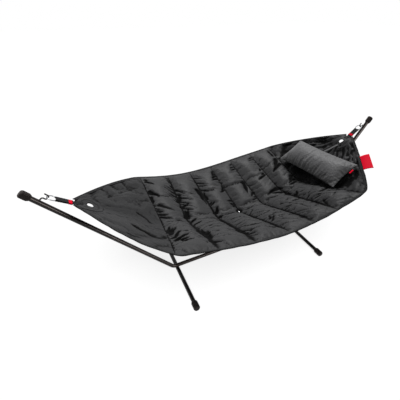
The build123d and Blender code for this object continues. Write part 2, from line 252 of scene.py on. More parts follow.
# %% Moulded rubber
def moulded_rubber(name, hex_code):
    grain_size, dust_size = 0.0022, 0.02
    material, tree, shader = new_finish(name, {"Roughness": 0.72, "Specular IOR Level": 0.3})
    where = add_node(tree, "ShaderNodeTexCoord").outputs["Object"]
    grain = add_node(tree, "ShaderNodeTexNoise", {"Vector": where, "Scale": 1 / grain_size, "Detail": 3.0})
    dust = add_node(tree, "ShaderNodeTexNoise", {"Vector": where, "Scale": 1 / dust_size, "Detail": 5.0})
    shade = add_node(tree, "ShaderNodeMapRange", {"Value": dust, "To Min": 0.75, "To Max": 1.3})
    colour = add_node(tree, "ShaderNodeVectorMath", {0: linear(hex_code)[:3], "Scale": shade},
                      operation="SCALE")
    bump = add_node(tree, "ShaderNodeBump", {"Height": grain, "Strength": 0.25, "Distance": 0.0006})
    set_inputs(tree, shader, {"Base Color": colour, "Normal": bump})
    return material


cap_rubber = moulded_rubber("moulded rubber", "#302927")


# %% Bare metals
def bare_metal(name, hex_code, roughness, draw_size):
    material, tree, shader = new_finish(name, {"Metallic": 1.0, "Roughness": roughness})
    where = add_node(tree, "ShaderNodeTexCoord").outputs["Object"]
    marks = add_node(tree, "ShaderNodeTexNoise", {"Vector": where, "Scale": 1 / draw_size, "Detail": 6.0})
    shade = add_node(tree, "ShaderNodeMapRange", {"Value": marks, "To Min": 0.9, "To Max": 1.06})
    colour = add_node(tree, "ShaderNodeVectorMath", {0: linear(hex_code)[:3], "Scale": shade},
                      operation="SCALE")
    gloss = add_node(tree, "ShaderNodeMapRange", {"Value": marks, "To Min": roughness * 0.7,
                                                  "To Max": roughness * 1.3})
    set_inputs(tree, shader, {"Base Color": colour, "Roughness": gloss})
    return material


ring_steel = bare_metal("polished stainless wire", "#9a9b9e", 0.22, 0.006)
spring_steel = bare_metal("zinc-plated spring steel", "#b4b6b8", 0.3, 0.004)
eyelet_metal = bare_metal("anodised aluminium", "#e2e2e4", 0.35, 0.003)

# %% Dress the hard nodes
hard_finishes = {"tube_paint": tube_coat, "hook_paint": hook_coat, "cap_rubber": cap_rubber,
                 "ring_steel": ring_steel, "spring_steel": spring_steel, "eyelet_metal": eyelet_metal}
dressed = 0
for row in frame["record"]["subparts"]:
    if row["material_slot"] in hard_finishes:
        node = nodes[row["node"]]
        node.data.materials.clear()
        node.data.materials.append(hard_finishes[row["material_slot"]])
        dressed += 1
        if row["material_slot"] == "tube_paint" and not row["node"].endswith("_leg"):
            strip.light_linking.receiver_collection.objects.link(node)
print("dressed hard nodes:", dressed)

# %% [markdown]
# ## Cloth finishes
#
# The sling is a tightly woven, coated nylon, as on a rain jacket: charcoal, with a soft satin sheen and no
# visible thread from a step away. The thread pattern is drawn about four times too coarse, so that a close
# view still shows it. Webbing and labels are the same idea with thicker threads. An attribute of the mesh
# dulls the cloth where it lies deep in a fold, and darkens its colour there as painted shade.


# %% Woven cloth
def woven_cloth(name, hex_code, roughness, thread, relief, sheen, gloss_level):
    wave_period = 2 * math.pi / 20
    mottle_size = 0.07
    gloss_swing = 0.06
    fold_dulling = 0.45
    material, tree, shader = new_finish(name, {"Sheen Weight": sheen, "Sheen Roughness": 0.4,
                                               "Specular IOR Level": gloss_level})
    where = add_node(tree, "ShaderNodeTexCoord").outputs
    warp, weft = [add_node(tree, "ShaderNodeTexWave", {"Vector": where["UV"], "Scale": wave_period / thread},
                           bands_direction=way).outputs["Fac"] for way in ("X", "Y")]
    weave = add_node(tree, "ShaderNodeMath", {0: warp, 1: weft}, operation="MULTIPLY")
    mottle = add_node(tree, "ShaderNodeTexNoise",
                      {"Vector": where["Object"], "Scale": 1 / mottle_size, "Detail": 5.0})
    cloud = add_node(tree, "ShaderNodeMapRange", {"Value": mottle, "To Min": 0.88, "To Max": 1.12})
    thread_shade = add_node(tree, "ShaderNodeMapRange", {"Value": weave, "To Min": 0.92, "To Max": 1.06})
    # Painted shade: deep in a fold the attribute darkens the colour to nearly black, besides dulling it.
    painted_shade = add_node(tree, "ShaderNodeAttribute", attribute_name="painted_shade").outputs["Fac"]
    painted_fold_shade = add_node(tree, "ShaderNodeMapRange", {"Value": painted_shade, "From Min": 0.08, "From Max": 0.45,
                                                       "To Min": 1.0, "To Max": 0.01})
    even = add_node(tree, "ShaderNodeMath", {0: cloud, 1: thread_shade}, operation="MULTIPLY")
    shade = add_node(tree, "ShaderNodeMath", {0: even, 1: painted_fold_shade}, operation="MULTIPLY")
    colour = add_node(tree, "ShaderNodeVectorMath", {0: linear(hex_code)[:3], "Scale": shade},
                      operation="SCALE")
    gloss = add_node(tree, "ShaderNodeMapRange", {"Value": mottle, "To Min": roughness - gloss_swing,
                                                  "To Max": roughness + gloss_swing})
    dull = add_node(tree, "ShaderNodeMath", {0: painted_shade, 1: fold_dulling, 2: gloss}, operation="MULTIPLY_ADD")
    bump = add_node(tree, "ShaderNodeBump", {"Height": weave, "Strength": 0.35, "Distance": relief})
    set_inputs(tree, shader, {"Base Color": colour, "Roughness": dull, "Normal": bump})
    return material


# Name and colour, then roughness, thread width, relief, sheen and gloss
quilt_cloth = woven_cloth("coated nylon taffeta", "#444445", 0.42, 0.0020, 0.0003, 0.02, 0.06)
panel_cloth = woven_cloth("coated nylon panel cloth", "#363637", 0.44, 0.0020, 0.0003, 0.02, 0.06)
# Painted light: the pillow cover is the same coated nylon as the quilt, with a lighter colour that stands in
# for the brighter light and sheen on its top.
pillow_cloth = woven_cloth("coated nylon pillow cover painted lighter", "#737374", 0.42, 0.0020, 0.0003, 0.02, 0.08)
hem_cloth = woven_cloth("nylon hem tape", "#303031", 0.50, 0.0024, 0.0005, 0.02, 0.05)
webbing = woven_cloth("polyester webbing", "#1c1c1d", 0.70, 0.0040, 0.0008, 0.05, 0.10)
pillow_tape = woven_cloth("nylon pillow tape", "#565657", 0.50, 0.0030, 0.0006, 0.02, 0.06)
red_satin = woven_cloth("red woven satin", "#ff0832", 0.6, 0.0016, 0.0002, 0.0, 0.04)
sewing_thread = woven_cloth("bonded sewing thread", "#3c3c3d", 0.55, 0.0006, 0.0001, 0.05, 0.10)
print("finishes:", len(bpy.data.materials))

# %% [markdown]
# ## The hanging surface
#
# Empty, the cloth hangs in a shallow valley. Its middle line and its two edges are gentle curves between
# the four corners, and the end panels rise from the corners to the tips. All soft pieces below take their
# place from these few functions, so that they meet along their seams.

# %% Hanging surface
bed_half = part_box("quilt_channel_6")[1].x
tip_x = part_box("right_end_panel")[1].x
bed_half_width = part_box("rear_hem")[1].y
tip_half_width = 0.045
tip_height = 1.052
tip_dish = 0.008
centre_height, centre_rise = 0.487, 0.188
front_height, front_rise = 0.72, 0.185
rear_height, rear_rise = 0.684, 0.081
edge_twist = 0.02
end_edge_bow = 0.045
end_panel_lift = 0.014
valley_share = 0.1
end_ease = 0.06
right_corner_pull = (0.05, -0.012, -0.014)
left_edge_pull = (-0.004, -0.018, -0.012)
right_pull_reach = 0.26
left_pull_x, left_pull_reach = -1.05, 0.24


def unit(value):
    return np.clip(value, 0, 1)


def bell(distance, reach):
    return np.exp(-(distance / reach) ** 2)


def toward_tip(x):
    return unit((np.abs(x) - bed_half) / (tip_x - bed_half))


def hang(height, rise, tip_level, x):
    share = toward_tip(x)
    bed = height + rise * np.minimum(np.abs(x) / bed_half, 1) ** 2
    return bed * (1 - share) + tip_level * share


def edge_y(x):
    share = toward_tip(x)
    straight = bed_half_width * (1 - share) + tip_half_width * share
    return straight + 4 * end_edge_bow * share * (1 - share)


def edge_z(x, y):
    twist = edge_twist * np.sin(math.pi * np.clip(x / bed_half, -1, 1))
    rear = hang(rear_height, rear_rise, tip_height + tip_dish, x) + twist
    front = hang(front_height, front_rise, tip_height + tip_dish, x) - twist
    return np.where(y > 0, rear, front)


def taut_z(x, y):
    share = toward_tip(x)
    edge = edge_y(x)
    valley = valley_share * edge
    low = hang(centre_height, centre_rise, tip_height, x) + 4 * end_panel_lift * share * (1 - share)
    high = edge_z(x, y)
    turn = high - (high - low) * (edge - valley) / (edge - valley / 2)
    floor_of_valley = low + (turn - low) * (y / valley) ** 2
    slope = turn + (high - turn) * (np.abs(y) - valley) / (edge - valley)
    return np.where(np.abs(y) < valley, floor_of_valley, slope)


def bed_z(x, y):
    return np.mean([taut_z(x + shift * end_ease, y) for shift in (-1, -0.5, 0, 0.5, 1)], axis=0)


def surface_normal(x, y, step=0.004):
    rise_x = (bed_z(x + step, y) - bed_z(x - step, y)) / (2 * step)
    rise_y = (bed_z(x, y + step) - bed_z(x, y - step)) / (2 * step)
    normal = np.stack([-rise_x, -rise_y, np.ones_like(rise_x)], -1)
    return normal / np.linalg.norm(normal, axis=-1, keepdims=True)


def corner_pull(x, y):
    front = unit(-y / bed_half_width) ** 2
    right = front * bell(x - bed_half, right_pull_reach)
    left = unit(-y / bed_half_width * 2) * bell(x - left_pull_x, left_pull_reach)
    return np.outer(right, right_corner_pull) + np.outer(left, left_edge_pull)


def drape(x, y):
    points = np.stack([x, y, bed_z(x, y)], -1)
    return points + corner_pull(x, y)


print("bed", round(2 * bed_half, 3), "m long and", round(2 * bed_half_width, 3), "m wide")

# %% [markdown]
# ## Seams of the quilt
#
# Seven seams cross the bed, each in two nearly straight halves that meet in the valley. On the cutting
# table they are evenly spaced. The hung cloth drags them along by up to a tenth of a metre, as listed here
# from left to right.

# %% Seam lines
channel_count = 6
rear_drag = [0.04, 0.045, 0.015, -0.01, -0.035, -0.045, -0.055]
centre_drag = [0.055, 0.005, 0.03, 0.003, -0.012, -0.025, -0.085]
front_drag = [-0.01, 0.015, 0.045, 0.095, 0.07, 0.005, -0.04]


def seam_x(index, across):
    even = bed_half * (2 * index / channel_count - 1)
    drag = (front_drag[index], centre_drag[index], rear_drag[index])
    return even + np.interp(across, (-1, 0, 1), drag)

print("seams in the valley at x", [round(float(seam_x(index, 0)), 3) for index in range(channel_count + 1)])

# %% [markdown]
# ## Working with cloth
#
# Each cloth piece starts as a flat grid. Its points are moved onto the hanging surface, and Blender's Cloth
# then gives it slack and pressure, so that it swells and wrinkles by itself between the seams that hold it.


# %% Cloth helpers
def read_points(piece):
    flat = np.empty(len(piece.data.vertices) * 3)
    piece.data.vertices.foreach_get("co", flat)
    return flat.reshape(-1, 3)


def place_points(piece, points):
    piece.data.vertices.foreach_set("co", np.asarray(points, float).ravel())
    piece.data.update()


def grid_piece(name, across, along, width, length):
    bpy.ops.object.select_all(action="DESELECT")
    bpy.ops.mesh.primitive_grid_add(x_subdivisions=across, y_subdivisions=along, size=2)
    piece = bpy.context.object
    piece.name = piece.data.name = name
    uv = piece.data.uv_layers.active.data
    for corner in uv:
        corner.uv = (corner.uv[0] * width, corner.uv[1] * length)
    points = read_points(piece)
    return piece, points[:, 0], points[:, 1]


def on_rim(across, along):
    rim_start = 0.999
    return (np.abs(across) > rim_start) | (np.abs(along) > rim_start)


def squared_off(wave, power):
    return np.sign(wave) * np.abs(wave) ** power


def select_only(piece):
    bpy.ops.object.select_all(action="DESELECT")
    piece.select_set(True)
    bpy.context.view_layer.objects.active = piece


def apply_modifier(piece, kind, **settings):
    select_only(piece)
    modifier = piece.modifiers.new(kind.lower(), kind)
    for name, value in settings.items():
        setattr(modifier, name, value)
    bpy.ops.object.modifier_apply(modifier=modifier.name)


def thicken(piece, thickness):
    apply_modifier(piece, "SOLIDIFY", thickness=thickness, offset=0)


def weld(piece, gap, close_ends=False):
    select_only(piece)
    bpy.ops.object.mode_set(mode="EDIT")
    bpy.ops.mesh.select_all(action="SELECT")
    bpy.ops.mesh.remove_doubles(threshold=gap)
    if close_ends:
        bpy.ops.mesh.fill_holes(sides=0)
        bpy.ops.mesh.normals_make_consistent(inside=False)
    bpy.ops.object.mode_set(mode="OBJECT")


def add_group(piece, name, weights):
    group = piece.vertex_groups.new(name=name)
    for index, weight in enumerate(weights):
        if weight > 0:
            group.add([index], float(weight), "REPLACE")


# The stored value is painted shade, which the cloth finish turns into a darker colour.
def keep_painted_shade(piece, shade):
    piece.data.attributes.new("painted_shade", "FLOAT", "POINT").data.foreach_set("value", shade)


def simulate(piece, steps, **settings):
    select_only(piece)
    cloth = piece.modifiers.new("cloth", "CLOTH")
    for name, value in settings.items():
        setattr(cloth.settings, name, value)
    cloth.settings.effector_weights.gravity = 0
    cloth.point_cache.frame_start = 1
    cloth.point_cache.frame_end = steps
    for step in range(1, steps + 1):
        scene.frame_set(step)
    bpy.ops.object.modifier_apply(modifier=cloth.name)
    scene.frame_set(1)


def finish_piece(piece, material, body, slot, *replaced):
    select_only(piece)
    bpy.ops.object.shade_smooth()
    piece.data.materials.clear()
    piece.data.materials.append(material)
    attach(piece, body)
    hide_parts(*replaced)


# %% [markdown]
# ## Folds
#
# Thin cloth doesn't dent softly: it breaks into sharp valleys with broad smooth ridges between them. Two
# fields make such folds. Puckers run slanting away from a seam, where the thread has drawn the cloth
# together. Gathers are bundles of deep folds where spare cloth has sunk in, placed where the real bed has
# them. Both are cut into a piece after the simulation. An attribute then keeps how deep each point lies
# below its surroundings, as painted shade for the cloth's colour, because little light gets in there. The
# last number of each noise call only picks a layer of the noise.

# %% Folds
fold_wander_size = 0.06
fold_wander = 0.014
fold_narrowing = 0.55
fold_lead_in, fold_fade_out, fold_end = 0.12, 0.45, 1.05
fold_width_share, least_fold_width = 0.1, 0.005
longest_fold, fold_shortening = 1.05, 0.22
bundle_fan = 14
bundle_pitch = 0.46
stray_turn, stray_share = 45, 0.8
pucker_spacing = 0.048
pucker_reach, least_reach_share = 0.05, 0.4
pucker_slant, pucker_stretch = 0.7, 0.25
pucker_sharpness = 0.16
pucker_patch = 0.22
mean_gather, gather_swing, most_gather = 0.35, 2.0, 1.3
pucker_depth = [0.01, 0.013, 0.013, 0.007, 0.007, 0.008, 0.009]
painted_shade_blur = 14
painted_shade_floor, painted_shade_power = 0.1, 0.8

# Each row: x and y where a bundle of folds starts, its heading in degrees from +X, the length and number of
# its folds, and their depth
gathers = [
    (-0.775, 0.64, -47, 0.11, 2, 0.018), (-0.79, 0.4, -75, 0.13, 2, 0.022),
    (-0.76, 0.22, -45, 0.16, 1, 0.01), (-0.8, -0.3, 58, 0.11, 3, 0.022),
    (-0.8, -0.41, 42, 0.12, 4, 0.024), (-0.765, -0.5, 12, 0.08, 3, 0.028),
    (-0.79, 0.1, -30, 0.1, 3, 0.014), (-0.52, 0.6, 130, 0.08, 3, 0.012),
    (-0.545, 0.24, 50, 0.11, 3, 0.018), (-0.545, -0.03, 52, 0.13, 4, 0.022),
    (-0.54, -0.45, 72, 0.12, 4, 0.018), (-0.29, 0.42, -84, 0.23, 1, 0.024),
    (-0.25, 0.22, 60, 0.08, 4, 0.014), (-0.245, 0.000, 20, 0.08, 4, 0.018),
    (-0.005, 0.56, 215, 0.085, 4, 0.018), (-0.005, 0.36, 225, 0.08, 3, 0.016),
    (0.000, 0.12, 150, 0.07, 3, 0.012), (0.245, 0.6, 205, 0.09, 3, 0.014),
    (0.232, 0.36, -92, 0.2, 1, 0.022), (0.262, 0.12, 200, 0.08, 3, 0.012),
    (0.51, 0.62, 205, 0.09, 2, 0.016), (0.512, 0.37, 215, 0.12, 3, 0.018),
    (0.53, 0.03, 170, 0.15, 2, 0.02), (0.54, -0.15, 60, 0.09, 4, 0.016),
    (0.75, 0.4, 215, 0.17, 2, 0.02), (0.74, 0.64, -95, 0.14, 1, 0.016),
    (0.745, 0.06, 190, 0.11, 3, 0.014), (0.1, -0.43, 60, 0.09, 2, 0.01),
    (0.345, -0.62, 140, 0.1, 4, 0.012), (0.55, -0.56, 70, 0.11, 3, 0.008),
    (0.76, -0.42, 160, 0.12, 3, 0.01),
]


def noise_along(x, y, size, layer):
    return np.array([noise.noise(Vector((a, b, layer))) for a, b in zip(x / size, y / size)])


def fold_lines(x, y, rows):
    depth = np.zeros_like(x)
    bend = noise_along(x, y, fold_wander_size, 3.3)
    for start_x, start_y, end_x, end_y, width, deep in rows:
        way = np.array([end_x - start_x, end_y - start_y])
        length = np.linalg.norm(way)
        along = ((x - start_x) * way[0] + (y - start_y) * way[1]) / length ** 2
        aside = ((y - start_y) * way[0] - (x - start_x) * way[1]) / length + fold_wander * bend
        half = width * (1 - fold_narrowing * unit(along))
        lead_in = unit(along / fold_lead_in + 0.5)
        taper = lead_in * unit((fold_end - along) / fold_fade_out)
        depth = np.maximum(depth, deep * taper * bell(aside, half))
    return depth


def gathered_folds():
    rows = []
    for x, y, heading, length, count, deep in gathers:
        for number in range(count):
            off_middle = number - (count - 1) / 2
            stray = noise.noise(Vector((31 * x, 17 * y, 2.3 * number)))
            turn = math.radians(heading + bundle_fan * off_middle + stray_turn * stray)
            reach = length * (longest_fold - fold_shortening * (number % 3) + stray_share * stray)
            start_y = y + (off_middle + stray_share * stray) * bundle_pitch * length
            rows.append((x, start_y, x + reach * math.cos(turn), start_y + reach * math.sin(turn),
                         fold_width_share * length * (1 + stray) + least_fold_width, deep))
    return rows


def pucker_field(away, y, seam, side):
    slanted = y + pucker_slant * side * away
    lines = noise_along(slanted, pucker_stretch * away, pucker_spacing, 5.3 * seam + side)
    patches_along = noise_along(y, np.full_like(y, side), pucker_patch, 9.1 * seam)
    gather = np.clip(mean_gather + gather_swing * patches_along, 0, most_gather)
    reach = pucker_reach * (least_reach_share + gather)
    return pucker_depth[seam] * gather * bell(lines, pucker_sharpness) * bell(away, reach)


# Painted shade: how far a point lies below its blurred surroundings, from none to full.
def painted_crease_shade(height, depth):
    smooth = height
    for _ in range(painted_shade_blur):
        bordered = np.pad(smooth, 1, mode="edge")
        beside = bordered[:-2, 1:-1] + bordered[2:, 1:-1] + bordered[1:-1, :-2] + bordered[1:-1, 2:]
        smooth = (beside + smooth) / 5
    return unit((smooth - height) / depth - painted_shade_floor) ** painted_shade_power


gather_rows = gathered_folds()
print("gathered folds:", len(gather_rows))

# %% [markdown]
# ## Quilt channels
#
# Each channel is two layers of nylon with loose fill, sewn flat along its seams. It starts as a closed pad
# with a smooth crown and its rim pinned. Cloth then adds slack, and a little pressure stands for the fill.
# The rear half of the right-hand channels is stretched flatter. The folds are cut in last, and the pad is
# pressed flat round the drain eyelet.

# %% Quilt channels
channel_across = 40
channel_along = 168
channel_width = 2 * bed_half / channel_count
channel_length = 2.1 * bed_half_width
seam_thickness = 0.004
seam_overlap = 0.005
hem_cover = 0.02
random_state = np.random.default_rng(11)
cell_jitter = 0.0005
pad_crown, pad_belly = 0.032, 0.012
rear_crown_share = [0.85, 0.85, 0.7, 0.5, 0.5, 0.6]
pad_fullness, pad_roundness = 2.2, 0.55
pad_end_share, pad_end_power = 0.2, 0.8
lump_size, lump_share = 0.21, 0.25
least_slack, most_slack = 0.0, 0.05
slack_patch, slack_swing = 0.16, 1.1
even_slack, patch_slack, seam_slack = 0.1, 0.5, 0.35
rear_slack_share = 0.35
nylon = dict(quality=5, mass=0.1, air_damping=1.0, tension_stiffness=15, compression_stiffness=15,
             shear_stiffness=5, bending_stiffness=0.5)
fill_pressure = 0.8
puff_steps = 14
drag_line_spacing, drag_line_depth = 0.055, 0.006
drag_line_slant, drag_line_stretch, drag_line_sharpness = 0.05, 0.06, 0.13
deepest_share = 0.9
painted_seam_shade_reach = [0.003, 0.01, 0.011, 0.007, 0.007, 0.008, 0.01]
front_seam_growth = 0.9
painted_shade_depth = 0.005
pocket_scale, pocket_power = 0.012, 1.5
eyelet_clearing = 0.03


def slack_share(x, y, wide, across, index):
    front = unit(-across * 2.5 + 0.4)
    patchy = unit(0.5 + slack_swing * noise_along(x, y, slack_patch, 3.7 * index))
    loose = patch_slack * patchy * (rear_slack_share + (1 - rear_slack_share) * front)
    return unit(even_slack + loose + seam_slack * np.abs(wide) ** 3 * patchy)


def end_fade(across):
    return unit((1 - np.abs(across)) / pad_end_share) ** pad_end_power


def pad_swell(x, y, wide, across, index):
    crown = pad_crown * (1 + lump_share * noise_along(x, y, lump_size, 2.9 * index))
    crown *= 1 - (1 - rear_crown_share[index]) * unit(2 * across)
    bulge = (1 - np.abs(wide) ** pad_fullness) ** pad_roundness * end_fade(across)
    return crown * bulge, -pad_belly * bulge


def quilt_folds(pockets, y, wide, across, index):
    depth = pockets.copy()
    for seam, side in ((index, 1), (index + 1, -1)):
        depth += pucker_field((1 + side * wide) / 2 * channel_width, y, seam, side)
    front = unit(0.3 - 2 * across)
    lines = noise_along(y + drag_line_slant * wide, drag_line_stretch * wide, drag_line_spacing,
                        6.1 * index + 0.5)
    return depth + drag_line_depth * front * bell(lines, drag_line_sharpness)


# Painted shade along each seam, reaching further towards the front.
def painted_seam_shade(wide, across, index):
    from_seam = (1 - np.abs(wide)) * bed_half / channel_count
    reach = np.where(wide < 0, painted_seam_shade_reach[index], painted_seam_shade_reach[index + 1])
    reach = reach * (1 + front_seam_growth * unit(-2 * across))
    return bell(from_seam, reach)


def quilt_channel(index):
    piece, wide, across = grid_piece(f"quilt_pad_{index + 1}", channel_across, channel_along,
                                     channel_width, channel_length)
    share = (wide + 1) / 2
    x = seam_x(index, across) * (1 - share) + seam_x(index + 1, across) * share + wide * seam_overlap
    y = across * (edge_y(x) - hem_cover)
    base = drape(x, y)
    place_points(piece, base)
    thicken(piece, seam_thickness)
    points = read_points(piece)
    heights = points[:, 2].reshape(2, -1)
    lower = np.repeat(heights.mean(1) < heights.mean(), len(x))
    rim = np.tile(on_rim(wide, across), 2)
    outward = np.tile(surface_normal(x, y), (2, 1))
    above, below = pad_swell(x, y, wide, across, index)
    swell = np.where(lower, np.tile(below, 2), np.tile(above, 2))
    swell += np.where(rim, 0, random_state.normal(0, cell_jitter, len(points)))
    place_points(piece, points + outward * swell[:, None])
    slack = np.tile(slack_share(x, y, wide, across, index), 2)
    add_group(piece, "seam", rim)
    add_group(piece, "tight", np.where(lower, 1.0, 1 - slack))
    simulate(piece, puff_steps, **nylon, use_pressure=True, uniform_pressure_force=fill_pressure,
             shrink_min=-most_slack, shrink_max=-least_slack, vertex_group_shrink="tight",
             vertex_group_mass="seam")
    puffed = read_points(piece)
    height = ((puffed - np.tile(base, (2, 1))) * outward).sum(1)
    pockets = fold_lines(x, y, gather_rows)
    folds = quilt_folds(pockets, y, wide, across, index) * end_fade(across)
    near_eyelet = bell(np.hypot(x, y), eyelet_clearing)
    folds = np.where(lower, 0, np.tile(np.maximum(folds, pad_crown * near_eyelet), 2))
    sunk = np.minimum(folds, np.clip(height - seam_thickness / 2, 0, None) * deepest_share)
    place_points(piece, puffed - outward * sunk[:, None])
    # Painted shade for the upper layer: where a point lies below its surroundings, along the seams and in
    # the gathered pockets.
    layers = (height - sunk).reshape(2, channel_along + 1, -1)
    shade = np.concatenate([painted_crease_shade(layer, painted_shade_depth).ravel() for layer in layers])
    painted_pocket_shade = unit(pockets / pocket_scale) ** pocket_power
    drawn = np.maximum(painted_pocket_shade, painted_seam_shade(wide, across, index))
    shade = np.where(lower, 0, np.maximum(shade, np.tile(drawn, 2)))
    keep_painted_shade(piece, shade * np.tile(end_fade(across), 2) ** 0.5)
    apply_modifier(piece, "SUBSURF", levels=1, render_levels=1)
    piece.vertex_groups.clear()
    finish_piece(piece, quilt_cloth, "sling", "quilt_cloth", f"quilt_channel_{index + 1}")
    return piece


quilt_pads = [quilt_channel(index) for index in range(channel_count)]
print("quilt faces", [len(pad.data.polygons) for pad in quilt_pads])

# %% [markdown]
# ## End panels
#
# Beyond the quilt the cloth is a single layer that narrows to the tip. Cloth settles it with a little
# slack. The pull of the strap leaves long folds that run from the tip, few and faint on the left and deep
# on the right, where the headrest hangs. The folds get painted shade on the upper side only, because a
# fold that sinks on top stands out underneath. A round hole is then cut in it.

# %% End panels
ends = {"left": -1, "right": 1}
panel_across = 54
panel_along = 84
panel_thickness = 0.0014
panel_slack = {"left": 0.006, "right": 0.02}
panel_steps = 20
panel_jitter = 0.0005
panel_painted_shade_depth = {"left": 0.0055, "right": 0.0038}
panel_edge_share = 0.06
hole_x = 1.28
hole_radius = 0.0225
punch_sides, punch_length = 40, 0.3

# Each row: where a fold or a ridge starts and ends, x and y, then its half width at the start and its depth
panel_folds = {
    "left": [(-0.96, 0.088, -0.813, -0.129, 0.012, 0.005), (-1.034, -0.184, -0.875, -0.395, 0.014, 0.01),
             (-1.085, -0.339, -0.953, -0.466, 0.012, 0.003),
             (-1.131, 0.208, -0.85, 0.38, 0.012, 0.0025), (-1.18, 0.05, -0.88, 0.13, 0.016, 0.0025),
             (-1.18, -0.05, -0.9, -0.06, 0.014, 0.002), (-1.15, 0.19, -0.88, 0.48, 0.014, 0.003)],
    "right": [(1.26, -0.15, 0.86, -0.61, 0.022, 0.014), (1.24, -0.12, 0.93, -0.47, 0.022, 0.016),
              (1.22, -0.08, 0.93, -0.35, 0.024, 0.014), (1.2, -0.05, 0.92, -0.23, 0.022, 0.012),
              (1.2, 0.04, 0.92, 0.16, 0.022, 0.012), (1.22, 0.08, 0.9, 0.33, 0.024, 0.012),
              (1.25, 0.12, 0.88, 0.5, 0.024, 0.013), (1.3, 0.06, 0.9, 0.6, 0.018, 0.01),
              (1.29, -0.11, 0.98, -0.54, 0.018, 0.014), (1.25, -0.02, 0.94, -0.29, 0.016, 0.012),
              (1.24, 0.02, 0.95, 0.06, 0.016, 0.012), (1.26, 0.1, 0.93, 0.42, 0.016, 0.012)],
}
panel_ridges = {"left": [(-0.85, -0.33, -1.06, -0.12, 0.032, 0.012)], "right": []}


def hole_frame(side):
    x, y = np.array([side * hole_x]), np.array([0.0])
    return (side * hole_x, 0.0, float(bed_z(x, y)[0])), surface_normal(x, y)[0]


# The painted shade of the folds is taken off the lower layer.
def clear_underside_painted_shade(piece):
    painted_shade = piece.data.attributes["painted_shade"].data
    shade = np.zeros(len(painted_shade))
    painted_shade.foreach_get("value", shade)
    layer_heights = read_points(piece)[:, 2].reshape(2, -1).mean(1)
    shade.reshape(2, -1)[int(np.argmin(layer_heights))] = 0
    painted_shade.foreach_set("value", shade)


def end_panel(end):
    side = ends[end]
    piece, lengthwise, across = grid_piece(f"{end}_panel_cloth", panel_across, panel_along,
                                           tip_x - bed_half, 2 * bed_half_width)
    share = (lengthwise + 1) / 2
    seam = seam_x(0 if side < 0 else channel_count, across)
    x = (seam - side * seam_overlap) * (1 - share) + side * tip_x * share
    y = across * (edge_y(x) - hem_cover)
    base = drape(x, y)
    normal = surface_normal(x, y)
    rim = on_rim(lengthwise, across)
    start = np.where(rim, 0, random_state.normal(0, panel_jitter, len(x)))
    place_points(piece, base + normal * start[:, None])
    add_group(piece, "seam", rim)
    simulate(piece, panel_steps, **nylon, shrink_min=-panel_slack[end], vertex_group_mass="seam")
    held = unit((1 - np.abs(across)) / panel_edge_share)
    folds = (fold_lines(x, y, panel_folds[end]) - fold_lines(x, y, panel_ridges[end])) * held
    place_points(piece, read_points(piece) - normal * folds[:, None])
    height = ((read_points(piece) - base) * normal).sum(1).reshape(panel_along + 1, -1)
    # Painted shade where the panel lies below its surroundings.
    keep_painted_shade(piece, painted_crease_shade(height, panel_painted_shade_depth[end]).ravel())
    apply_modifier(piece, "SUBSURF", levels=1, render_levels=1)
    thicken(piece, panel_thickness)
    piece.vertex_groups.clear()
    clear_underside_painted_shade(piece)
    hole_centre, hole_normal = hole_frame(side)
    bpy.ops.object.select_all(action="DESELECT")
    bpy.ops.mesh.primitive_cylinder_add(vertices=punch_sides, radius=hole_radius, depth=punch_length,
                                        location=hole_centre,
                                        rotation=Vector(hole_normal).to_track_quat("Z", "Y").to_euler())
    punch = bpy.context.object
    apply_modifier(piece, "BOOLEAN", operation="DIFFERENCE", object=punch)
    bpy.data.objects.remove(punch)
    finish_piece(piece, panel_cloth, "sling", "panel_cloth", f"{end}_end_panel")
    return piece


panels = {end: end_panel(end) for end in ends}
print("panel faces", [len(panel.data.polygons) for panel in panels.values()])

# %% [markdown]
# ## Patches round the holes
#
# A round patch is sewn on each panel to take the pull on the hole. It is a ring of cloth that Shrinkwrap
# lays on the panel. Two rings of it get painted shade, where sewing has drawn it in.

# %% Patches
patch_around, patch_across = 96, 12
patch_radius = 0.105
patch_thickness = 0.0014
patch_edge_gap = 0.003
patch_start_height, patch_lift = 0.01, 0.0008
patch_weld = 0.0001
patch_rings, ring_blur, painted_ring_shade = (0.45, 0.92), 0.07, 0.35


def ring_x(side, radius, angle):
    lean = hole_frame(side)[1][2]
    return side * (hole_x + radius * np.cos(angle) * lean)


def round_patch(end):
    piece, turn, reach = grid_piece(f"{end}_patch_cloth", patch_around, patch_across,
                                    2 * math.pi * patch_radius, patch_radius)
    angle = (turn + 1) * math.pi
    share = (reach + 1) / 2
    rim = hole_radius + patch_edge_gap
    radius = rim + (patch_radius - rim) * (reach + 1) / 2
    x = np.clip(ring_x(ends[end], radius, angle), -tip_x + patch_edge_gap, tip_x - patch_edge_gap)
    room = edge_y(x) - hem_cover - patch_edge_gap
    y = np.clip(radius * np.sin(angle), -room, room)
    place_points(piece, np.stack([x, y, bed_z(x, y) + patch_start_height], -1))
    weld(piece, patch_weld)
    apply_modifier(piece, "SHRINKWRAP", target=panels[end], wrap_method="NEAREST_SURFACEPOINT",
                   wrap_mode="ABOVE_SURFACE", offset=patch_lift)
    apply_modifier(piece, "SMOOTH", factor=0.5, iterations=2)
    thicken(piece, patch_thickness)
    # Painted shade on two rings, where the sewing draws the patch in.
    rings = np.max([bell(share - ring, ring_blur) for ring in patch_rings], axis=0)
    first_layer = read_points(piece)[:len(piece.data.vertices) // 2]
    nearest = [int(np.argmin(np.hypot(x - point[0], y - point[1]))) for point in first_layer]
    keep_painted_shade(piece, np.tile(painted_ring_shade * rings[nearest], 2))
    finish_piece(piece, panel_cloth, "sling", "panel_cloth", f"{end}_patch")
    return piece


patches = {end: round_patch(end) for end in ends}
print("patch faces", [len(patch.data.polygons) for patch in patches.values()])

